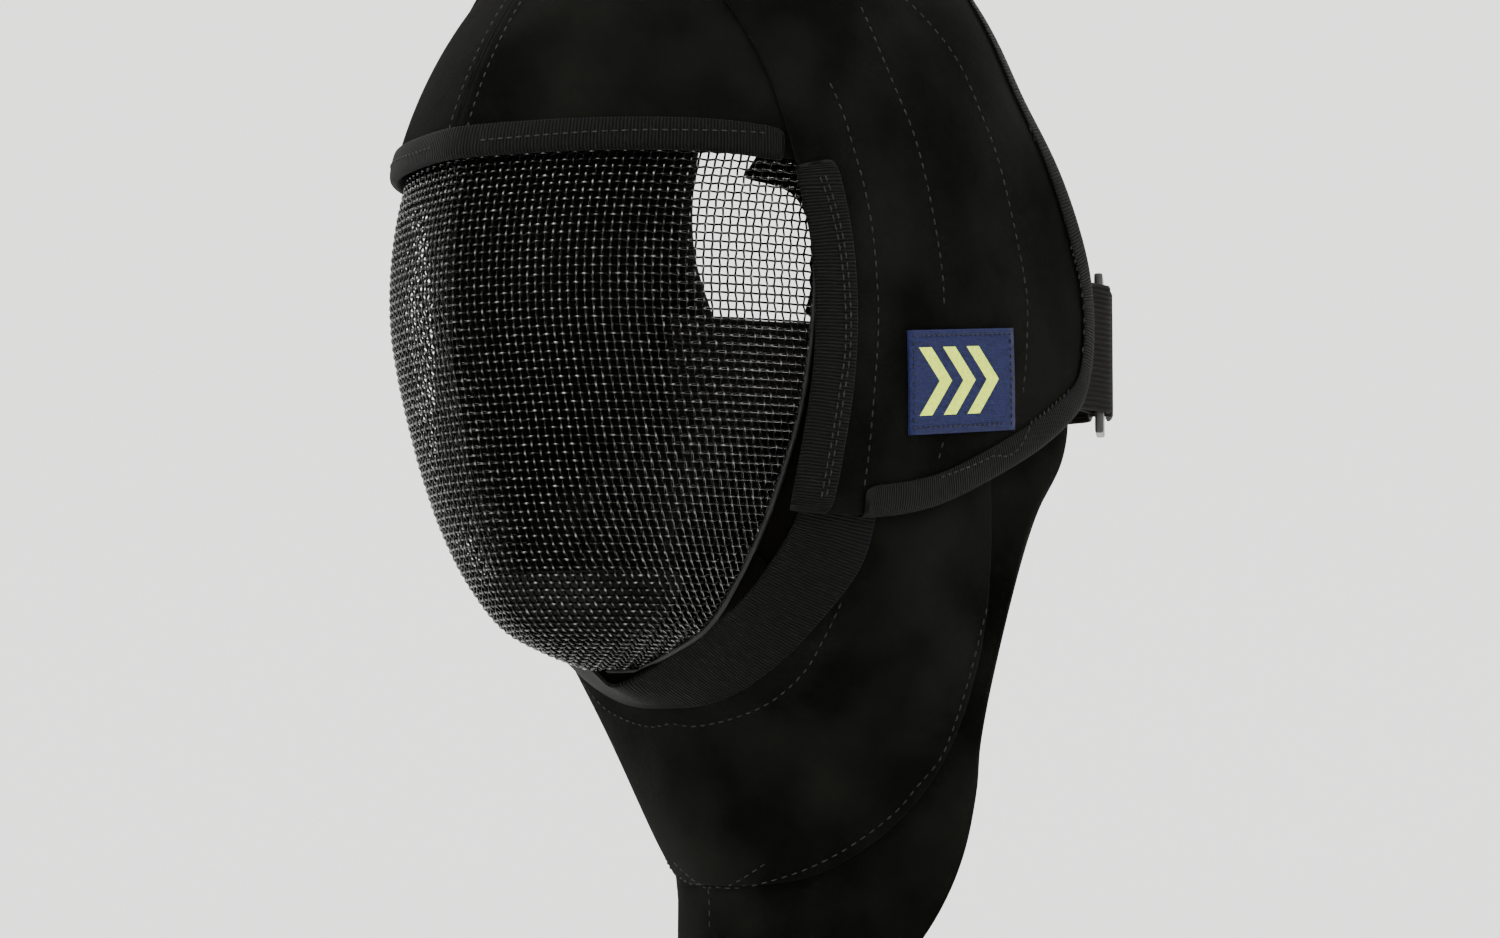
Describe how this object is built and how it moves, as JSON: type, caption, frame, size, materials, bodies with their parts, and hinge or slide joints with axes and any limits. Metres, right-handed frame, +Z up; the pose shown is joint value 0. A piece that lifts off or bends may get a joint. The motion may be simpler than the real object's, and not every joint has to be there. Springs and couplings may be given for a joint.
{
  "type": "fencing mask",
  "caption": "Closed head guard with a wire mesh face, a suede hood open at the back, a padded rear tongue and strap, and a long throat bib.",
  "frame": {"origin": "inner face of the crown on the middle plane, where the mask sits on the head", "axes": "+Z up, -Y the way the face looks, +X the wearer's left"},
  "size_m": [0.2159, 0.3017, 0.4694],
  "materials": {
    "wire": "woven steel wire, half worn",
    "leather": "matt suede",
    "tape": "ribbed grosgrain",
    "webbing": "flat woven webbing",
    "plastic": "satin",
    "label": "woven",
    "padding": "matt"
  },
  "bodies": {
    "root": {"face_mesh": "wire", "mesh_edge_strip_left": "leather", "mesh_edge_strip_right": "leather", "forehead_panel_left": "leather", "forehead_panel_right": "leather", "forehead_binding": "tape", "side_panel_left": "leather", "side_panel_right": "leather", "side_front_binding_left": "tape", "side_front_binding_right": "tape", "side_edge_binding_left": "tape", "side_edge_binding_right": "tape", "chin_tape": "tape", "bib_upper": "leather", "bib_lower": "leather", "back_tongue": "leather", "rear_strap": "webbing", "buckle_tab": "webbing", "buckle": "plastic", "label": "label", "chin_pad": "padding"}
  },
  "joints": []
}
